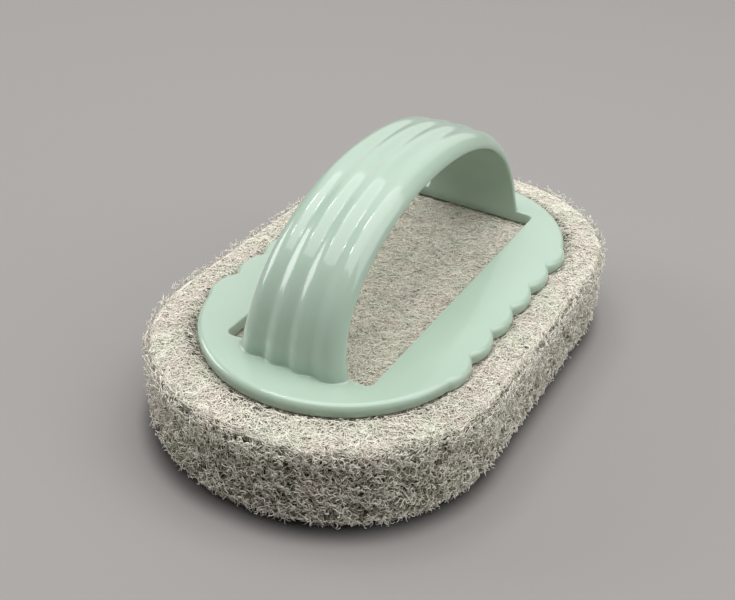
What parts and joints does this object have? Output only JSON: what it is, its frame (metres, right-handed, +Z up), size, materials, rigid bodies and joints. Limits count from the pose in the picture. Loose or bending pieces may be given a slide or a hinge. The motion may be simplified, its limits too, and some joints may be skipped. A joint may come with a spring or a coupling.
{
  "type": "arch-handled hand scrubber",
  "caption": "Hand scrubber with a fluted plastic arch handle on a lobed oval plate, over a thick fibre pad that pulls off its barbs.",
  "frame": {"origin": "middle of the pad's flat underside, where the scrubber stands", "axes": "+X along the pad's length, +Y across it, +Z up through the arch"},
  "size_m": [0.155, 0.094, 0.0649],
  "materials": {
    "mint_plastic": "gloss",
    "pad_fibre": "coarse non-woven"
  },
  "bodies": {
    "pad": {"fibre_pad": "pad_fibre"},
    "handle": {"base_plate": "mint_plastic", "arch_handle": "mint_plastic", "grip_barbs": "mint_plastic"}
  },
  "joints": [
    {"name": "pad_release", "type": "slide", "parent": "pad", "child": "handle", "axis": [0, 0, 1], "range_m": [0, 0.025]}
  ]
}
